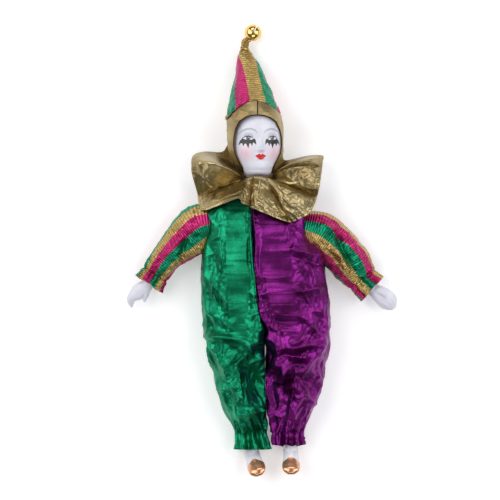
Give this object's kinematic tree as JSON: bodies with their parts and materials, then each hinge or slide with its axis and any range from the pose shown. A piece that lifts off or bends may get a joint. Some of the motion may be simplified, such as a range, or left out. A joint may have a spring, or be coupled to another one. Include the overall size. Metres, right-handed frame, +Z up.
{
  "type": "clown doll",
  "caption": "Porcelain clown doll in a stuffed two-colour lamé suit with ruff, hood and belled cone hat, lying on its back.",
  "frame": {"origin": "on the surface the doll lies on, under the middle of its outline", "axes": "+Y from the feet to the hat, +Z up out of the face, +X to the right as one looks at the doll's face with the hat at the top"},
  "size_m": [0.2436, 0.4078, 0.0582],
  "materials": {
    "porcelain": "white glazed porcelain, painted face and shoes",
    "gold_lame": "old gold foil lamé",
    "striped_lame": "ribbed lamé in gold, pink and green stripes",
    "green_lame": "emerald foil lamé",
    "purple_lame": "magenta purple foil lamé",
    "brass": "bright plated"
  },
  "bodies": {
    "root": {"head": "porcelain", "hand_left": "porcelain", "hand_right": "porcelain", "leg_left": "porcelain", "leg_right": "porcelain", "hood": "gold_lame", "ruff": "gold_lame", "hat": "striped_lame", "sleeve_left": "striped_lame", "sleeve_right": "striped_lame", "suit_green": "green_lame", "suit_purple": "purple_lame", "bell": "brass"}
  },
  "joints": []
}
